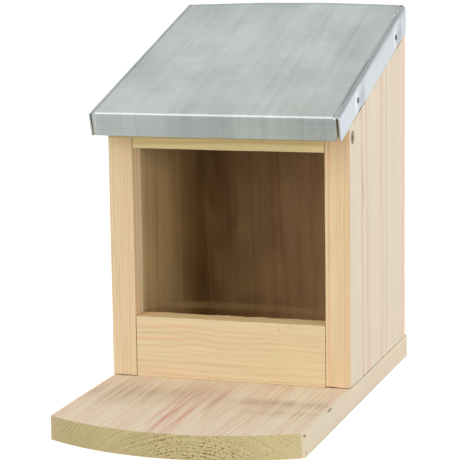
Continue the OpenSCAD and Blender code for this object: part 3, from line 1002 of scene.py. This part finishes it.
def makeSheet():
    look = sheetLook
    low, high = slopeBox("lid_sheet")
    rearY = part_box("lid_sheet")[1].y
    half, top, bottom, front = high.x, high.z, low.z, low.y
    r = look["foldRadius"]
    nails = [slopeFrame.inverted() @ ((a + b) / 2) for a, b in looseParts("sheet_nails")]

    # cross-section from the left flange's lower edge over the top to the right one
    sideBottom = bottom - look["sideDrop"]
    section = [(-half, sideBottom + (top - r - sideBottom) * k / 12) for k in range(12)]
    section += arc((r - half, top - r), r, 180, 90, 6)
    flangeEnd = half - look["thickness"] - look["slit"]
    columns, rows = look["columns"], look["rows"]
    inside = [-flangeEnd + 2 * flangeEnd * k / columns for k in range(columns + 1)]
    firstFront = len(section)
    section += [(x, top) for x in inside]
    lastFront = len(section) - 1
    section += [(-x, off) for x, off in reversed(section[:firstFront])]

    def shaped(x, off, run, share):
        # where a point of the folded sheet really lies, with its rolls, dents and lean
        level = max(0.0, (off - bottom) / (top - bottom))
        rise = look["rearRise"] * share + look["rearArch"] * share ** 3 * (1 - (x / half) ** 2)
        inner = min(1.0, (half - abs(x)) / (8 * mm))
        rolls = 0.16 * mm * noise.noise(Vector((x / (13 * mm), run / (90 * mm), 1)))
        rolls += 0.10 * mm * noise.noise(Vector((x / (30 * mm), run / (30 * mm), 5)))
        off += (rise + rolls * inner) * level
        if x < 0:
            x += leftLean(share, level) * min(1.0, -x / half)
        if abs(x) > half - 3 * mm:
            side = math.copysign(1, x)
            bulge = look["bow"] + 0.2 * mm * noise.noise(Vector((run / (16 * mm), off / (14 * mm), 7 * side)))
            for nail in nails:
                if nail.x * side > 0:
                    away = math.hypot(run - nail.y, off - nail.z)
                    bulge -= look["dent"] * (0.65 * math.exp(-(away / look["dentRadius"]) ** 2)
                                             + 0.35 * math.exp(-(away / look["pinchRadius"]) ** 2))
            x += side * bulge * (1 - max(0.0, (off - top + r) / r) if off > top - r else 1.0)
        return slopeFrame @ Vector((x, run, off))

    def cornerBack(off, edge=sideBottom):
        # how far the rounded lower corner of a flange draws back at this height
        c, drop = look["cornerRound"], off - edge
        return c - math.sqrt(max(0.0, c * c - (c - drop) ** 2)) if drop < c else 0.0

    bm = bmesh.new()
    verts = {}
    for i in range(rows + 1):
        share = i / rows
        for k, (x, off) in enumerate(section):
            start = front + r + cornerBack(off)
            run = start + (slopeRun(rearY, off) - start) * share
            verts[i, k] = bm.verts.new(shaped(x, off, run, share))
    for i in range(rows):
        for k in range(len(section) - 1):
            bm.faces.new((verts[i, k], verts[i, k + 1], verts[i + 1, k + 1], verts[i + 1, k]))
    # the two corners run on to the front, with the side flanges
    for span in (range(0, firstFront + 1), range(lastFront, len(section))):
        span = list(span)
        tips = {}
        for k in span:
            x, off = section[k]
            tips[k] = bm.verts.new(shaped(x, off, front + look["cornerGap"] + cornerBack(off), 0))
        for k in span[:-1]:
            bm.faces.new((tips[k], tips[k + 1], verts[0, k + 1], verts[0, k]))
    # the front flange: a fold and a flap with rounded lower corners
    flap = arc((front + r, top - r), r, 90, 180, 6, first=1)
    lowest = bottom + look["cornerRound"]
    flap += [(front, top - r - (top - r - lowest) * k / 8) for k in range(1, 9)]
    flap += [(front, lowest - look["cornerRound"] * math.sin(math.radians(15 * k))) for k in range(1, 7)]
    previous = {k: verts[0, k] for k in range(firstFront, lastFront + 1)}
    for run, off in flap:
        row = {}
        for k in range(firstFront, lastFront + 1):
            x = section[k][0] * (1 - cornerBack(off, bottom) / flangeEnd)
            ripple = 0.12 * mm * noise.noise(Vector((x / (11 * mm), off / (40 * mm), 3)))
            x -= look["leftFlare"] * max(0.0, -x / half)
            row[k] = bm.verts.new(slopeFrame @ Vector((x, run + ripple, off)))
        for k in range(firstFront, lastFront):
            bm.faces.new((row[k], row[k + 1], previous[k + 1], previous[k]))
        previous = row
    bm.normal_update()
    # painted highlight before each nail and painted shade behind it, where the dents would catch and lose the
    # light
    nailHighlightsAndShade = []
    for a, b in looseParts("sheet_nails"):
        x, y, z = (a + b) / 2 / mm
        x = math.copysign(half / mm, x)
        nailHighlightsAndShade.append(stain((x, y - 4.5, z - 1), (4, 4.5, 7), "FFFFFF", 0.8, ragged=0.2, soft=0.6))
        nailHighlightsAndShade.append(stain((x, y + 6.5, z + 2), (4, 7, 8), "A9B3BC", 0.7, ragged=0.2, soft=0.9))
    zinc = makeZinc("zinc sheet", {**zincLook, "marks": zincLook["marks"] + nailHighlightsAndShade})
    piece = makePiece("lid_sheet_zinc", bm, "lid", "zinc_sheet", ["lid_sheet"], zinc)
    skin = piece.modifiers.new("sheet thickness", "SOLIDIFY")
    skin.thickness, skin.offset, skin.use_quality_normals = look["thickness"], -1, True
    print("zinc sheet")


# Nails through the side flanges, with low domed heads

nailLook = {
    "sunk": 0.4 * mm,  # how far the heads are driven into the sheet
    "headShare": 0.96,  # of the head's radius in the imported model
    "headTop": -0.15 * mm,
    "profile": [(0.45, -8), (0.45, -0.7), (1.0, -0.55), (1.0, -0.34), (0.8, -0.12), (0.45, 0.0)],
    "sides": 24,
}


def makeNails():
    look = nailLook
    lidLow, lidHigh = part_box("lid_board")
    bm = bmesh.new()
    for low, high in looseParts("sheet_nails"):
        middle, half = (low + high) / 2, (high - low) / 2
        side = math.copysign(1, middle.x)
        x = side * (max(abs(low.x), abs(high.x)) - look["sunk"])
        if side < 0:
            x += leftLean((middle.y - lidLow.y) / (lidHigh.y - lidLow.y), 0.4)
        place = frameAt(Vector((x, middle.y, middle.z)), (side, 0, 0))
        radius = max(half.y, half.z) * look["headShare"]
        rings = [ringAt(bm, place, radius * share, z * mm + look["headTop"], look["sides"])
                 for share, z in look["profile"]]
        joinRings(bm, rings)
        closeEnds(bm, rings)
    bmesh.ops.recalc_face_normals(bm, faces=bm.faces)
    makePiece("sheet_nails_steel", bm, "lid", "nails", ["sheet_nails"],
              makeSteel("bare nail steel", "8E8379", "4A3B30", 0.4, 0.9))
    print("nails")


# Butt hinges: bevelled leaves with screw holes, rolled knuckles and a pin

hingeLook = {
    "thickness": 0.8 * mm,
    "gap": 0.15 * mm,  # between the knuckles, and between a knuckle and the other leaf
    "corner": 1.6 * mm,
    "edge": 0.14 * mm,
    "knuckleRim": 0.15 * mm,
    "pinRim": 0.2 * mm,
}


def knuckleSpans(which, side, low, high):
    # the box leaf has the two outer knuckles, and the lid leaf the middle third of its length
    boxLow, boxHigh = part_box("hinge_%s_box_leaf" % side)
    third = (boxHigh.x - boxLow.x) / 3
    if which == "lid":
        return [(boxLow.x + third, boxHigh.x - third)]
    gap = hingeLook["gap"]
    return [(low.x, low.x + third - gap), (high.x - third + gap, high.x)]


def leafOutline(low, high, spans, way, pinZ, nearZ):
    r, farZ = hingeLook["corner"], low.z if way < 0 else high.z
    rounds = arc((low.x + r, -r), r, 180, 90, 4) + arc((high.x - r, -r), r, 90, 0, 4)
    points = [(low.x, nearZ)] + [(x, farZ + way * off) for x, off in rounds] + [(high.x, nearZ)]
    for start, end in sorted(spans, reverse=True):
        points += [(end, nearZ), (end, pinZ), (start, pinZ), (start, nearZ)]
    outline = []
    for p in points:
        if not outline or (Vector(p) - Vector(outline[-1])).length > 0.02 * mm:
            outline.append(p)
    if (Vector(outline[0]) - Vector(outline[-1])).length < 0.02 * mm:
        outline.pop()
    return outline


def makeLeaf(side, which, way, pinMiddle, steel):
    look = hingeLook
    node = "hinge_%s_%s_leaf" % (side, which)
    low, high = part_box(node)
    knuckleRadius = high.y - pinMiddle.y
    spans = knuckleSpans(which, side, low, high)
    nearZ = pinMiddle.z + way * (knuckleRadius + look["gap"])
    outline = leafOutline(low, high, spans, way, pinMiddle.z, nearZ)
    bm = bmesh.new()
    joinRings(bm, [[bm.verts.new((x, low.y + depth, z)) for x, z in outline]
                   for depth in (0, look["thickness"])])
    count = len(outline)
    bm.verts.ensure_lookup_table()
    bm.faces.new(bm.verts[:count])
    bm.faces.new(list(reversed(bm.verts[count:])))
    bmesh.ops.recalc_face_normals(bm, faces=bm.faces)
    piece = makePiece(node + "_steel", bm, which, "hinge_steel", [node], steel, smooth=True)
    sinks = [p for p in screwPlaces("hinge_screws_" + which, backward)
             if p[0].translation.x * pinMiddle.x > 0]
    carve(piece, screwSinks(sinks, "smallSink"))
    softenEdges(piece, look["edge"], limit=50, segments=2)
    rolls = bmesh.new()
    for start, end in spans:
        rod(rolls, Vector((start, pinMiddle.y, pinMiddle.z)), Vector((end, pinMiddle.y, pinMiddle.z)),
            knuckleRadius, 32, look["knuckleRim"])
    makePiece(node + "_knuckle", rolls, which, "hinge_steel", [node], steel, smooth=False)


def makeHinges(steel, screwSteel):
    for side in ("left", "right"):
        pin = "hinge_%s_pin" % side
        pinLow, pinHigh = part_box(pin)
        middle = (pinLow + pinHigh) / 2
        for which, way in (("box", -1), ("lid", 1)):
            makeLeaf(side, which, way, middle, steel)
        bm = bmesh.new()
        rod(bm, Vector((pinLow.x, middle.y, middle.z)), Vector((pinHigh.x, middle.y, middle.z)),
            (pinHigh.z - pinLow.z) / 2, 24, hingeLook["pinRim"])
        makePiece(pin + "_steel", bm, "box", "hinge_steel", [pin], steel, smooth=False)
    for which in ("box", "lid"):
        makeScrews("hinge_screws_" + which, backward, which, "steel_screws", screwSteel)
    print("hinges")


# Keyhole hanger plate

hangerLook = {
    "cornerRadius": 4 * mm,
    "slotRadius": 2.2 * mm,
    "keyRadius": 4.5 * mm,
    "slotLength": 8 * mm,
    "pocketDepth": 5 * mm,
}


def keyholeOutline(grow, middle):
    look = hangerLook
    key, slot = look["keyRadius"] + grow, look["slotRadius"] + grow
    keyZ, slotZ = middle.z - look["slotLength"] / 2, middle.z + look["slotLength"] / 2
    start = math.degrees(math.asin(slot / key))
    return (arc((middle.x, keyZ), key, 90 + start, 450 - start, 28)
            + arc((middle.x, slotZ), slot, 0, 180, 12))


def makeHanger(steel, screwSteel):
    look = hangerLook
    low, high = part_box("hanger_plate")
    middle, r = (low + high) / 2, look["cornerRadius"]
    reach, rise = (high.x - low.x) / 2 - r, (high.z - low.z) / 2 - r
    corners = []
    for k, (sx, sz) in enumerate(((1, 1), (-1, 1), (-1, -1), (1, -1))):
        corners += arc((middle.x + sx * reach, middle.z + sz * rise), r, 90 * k, 90 * k + 90, 6)
    bm = boardShape(corners, evenly(-high.y, -low.y), againstBack,
                    step=30 * mm, wobble=0)
    piece = makePiece("hanger_plate_steel", bm, "box", "hanger_steel", ["hanger_plate"], steel)
    cutter = boardShape(keyholeOutline(0, middle), evenly(-high.y - 1 * mm, -low.y + 1 * mm),
                        againstBack, step=30 * mm, wobble=0)
    carve(piece, cutter)
    carve(piece, screwSinks(screwPlaces("hanger_screws", backward), "smallSink"))
    softenEdges(piece, 0.25 * mm, limit=50)
    pocket = boardShape(keyholeOutline(look["slotRadius"], middle),
                        evenly(-backHigh.y - 1 * mm, -backHigh.y + look["pocketDepth"]),
                        againstBack, step=30 * mm, wobble=0)
    back = bpy.data.objects["back_board_wood"]
    back.modifiers.clear()
    carve(back, pocket)
    softenEdges(back, backLook["edge"], backRounding)
    makeScrews("hanger_screws", backward, "box", "steel_screws", screwSteel)
    print("hanger")


makeBase()
makeSides()
makeBack()
makeRails()
makePane()
makeLidBoard()
makeSheet()
makeNails()
screwSteel = makeSteel("plated screw steel", "C4C2BC", "8E8C86", 0.3)
dullSteel = makeSteel("dull screw steel", "B3A595", "6C5E52", 0.4)
hingeSteel = makeSteel("plated hinge steel", "BFC0BD", "A2A39F", 0.32)
makeScrews("base_screws", downward, "box", "steel_screws", screwSteel)
makeScrews("back_screws", backward, "box", "steel_screws", screwSteel)
makeScrews("rail_screws", sideways, "box", "steel_screws", dullSteel)
print("screws")
makeHinges(hingeSteel, screwSteel)
makeHanger(hingeSteel, screwSteel)


# Floor, light and camera

studio = {
    "sky": 0.68,
    "front": 0.55,
    "dimWay": (0.43, 0.73, 0.53),  # a dim patch of the sky, which the right fold of the sheet reflects
    "dimming": 0.45,
    "floorNear": 0.5,  # how pale the floor is in front of the box, as the box sees it
    "floorFar": 0.95,
    "backdrop": 1.02,  # how pale the sky is to the camera
    "aim": (0, 0, 0.08),
    "lamps": {  # where each soft lamp stands, its size and its power
        "side": ((1.5, 0.3, 0.5), 0.9, 5.0),
        "window": ((1.2, -1.3, 0.3), 0.8, 11.0),
        "front": ((-0.5, -1.4, 1.1), 1.5, 8.0),
        "top": ((-0.1, -0.3, 1.8), 1.5, 5.0),
    },
}


def makeFloor():
    mesh = bpy.data.meshes.new("floor")
    bm = bmesh.new()
    bmesh.ops.create_grid(bm, x_segments=1, y_segments=1, size=6)
    bm.to_mesh(mesh)
    bm.free()
    floor = bpy.data.objects.new("floor", mesh)
    bpy.context.scene.collection.objects.link(floor)
    material, tree, output, spot, _ = newMaterial("pale floor")
    # the floor is palest straight behind the box, in metres
    back = calc(tree, "MULTIPLY_ADD", part(tree, spot, "X"), -0.8, part(tree, spot, "Y"))
    back = calc(tree, "MULTIPLY", back, 0.001)
    behind = ramp(tree, calc(tree, "ADD", back, 0.1), (0.0, studio["floorNear"]), (0.6, studio["floorFar"]))
    seen = tree.nodes.new("ShaderNodeLightPath").outputs["Is Camera Ray"]
    shade = mix(tree, seen, behind, (0.93, 0.93, 0.93, 1))
    shade = mix(tree, 1.0, shade, ramp(tree, cloud(tree, spot, 0.01, 2), (0.3, 0.98), (0.7, 1.0)), "MULTIPLY")
    glow = calc(tree, "MAXIMUM", calc(tree, "MULTIPLY", seen, 0.5),
                calc(tree, "MULTIPLY_ADD", behind, 0.9, -0.45))
    surface(tree, output, Base_Color=shade, Roughness=0.9, Emission_Color=(1, 1, 1, 1),
            Emission_Strength=glow)
    mesh.materials.append(material)


def makeSky():
    world = bpy.data.worlds.new("studio")
    bpy.context.scene.world = world
    world.use_nodes = True
    tree = world.node_tree
    tree.nodes.clear()
    output = tree.nodes.new("ShaderNodeOutputWorld")
    way = tree.nodes.new("ShaderNodeTexCoord").outputs["Generated"]
    ahead = vectorCalc(tree, "DOT_PRODUCT", way, (0, 1, 0))
    level = calc(tree, "MULTIPLY_ADD", ahead, (studio["sky"] - studio["front"]) / 2,
                 (studio["sky"] + studio["front"]) / 2)
    dim = ramp(tree, vectorCalc(tree, "DOT_PRODUCT", way, studio["dimWay"]), (0.88, 0.0), (0.985, 1.0))
    level = calc(tree, "MULTIPLY", level, calc(tree, "MULTIPLY_ADD", dim, -studio["dimming"], 1.0))
    seen = tree.nodes.new("ShaderNodeLightPath").outputs["Is Camera Ray"]
    level = calc(tree, "MULTIPLY_ADD", seen, calc(tree, "SUBTRACT", studio["backdrop"], level), level)
    light = addNode(tree, "ShaderNodeBackground", {"Color": (1, 1, 1, 1), "Strength": level})
    tree.links.new(light.outputs[0], output.inputs["Surface"])


def makeLamps():
    for name, (place, size, power) in studio["lamps"].items():
        lamp = bpy.data.lights.new(name, "AREA")
        lamp.energy, lamp.size = power, size
        lampObject = bpy.data.objects.new(name, lamp)
        lampObject.visible_camera = False
        lampObject.location = place
        aim = Vector(studio["aim"]) - Vector(place)
        lampObject.rotation_euler = aim.to_track_quat("-Z", "Y").to_euler()
        bpy.context.scene.collection.objects.link(lampObject)


def makeStudio():
    bpy.context.scene.view_settings.view_transform = "Standard"
    makeFloor()
    makeSky()
    makeLamps()
    print("studio")


cameraLook = {
    "aim": (0, -10.0 * mm, 85.2 * mm),
    "distance": 945.3 * mm,
    "azimuth": 17.79,
    "elevation": 9.53,
    "roll": -0.85,
    "lens": 154.5,
}


def makeCamera():
    look = cameraLook
    turn, rise, roll = (math.radians(look[k]) for k in ("azimuth", "elevation", "roll"))
    away = Vector((math.sin(turn) * math.cos(rise), -math.cos(turn) * math.cos(rise), math.sin(rise)))
    right = Vector((0, 0, 1)).cross(away).normalized()
    up = away.cross(right)
    right, up = (right * math.cos(roll) + up * math.sin(roll), up * math.cos(roll) - right * math.sin(roll))
    lens = bpy.data.cameras.new("camera")
    lens.lens, lens.sensor_width = look["lens"], 36
    camera = bpy.data.objects.new("camera", lens)
    bpy.context.scene.collection.objects.link(camera)
    turned = Matrix((right, up, away)).transposed().to_4x4()
    camera.matrix_world = Matrix.Translation(Vector(look["aim"]) + away * look["distance"]) @ turned
    bpy.context.scene.camera = camera
    print("camera")


makeStudio()
makeCamera()
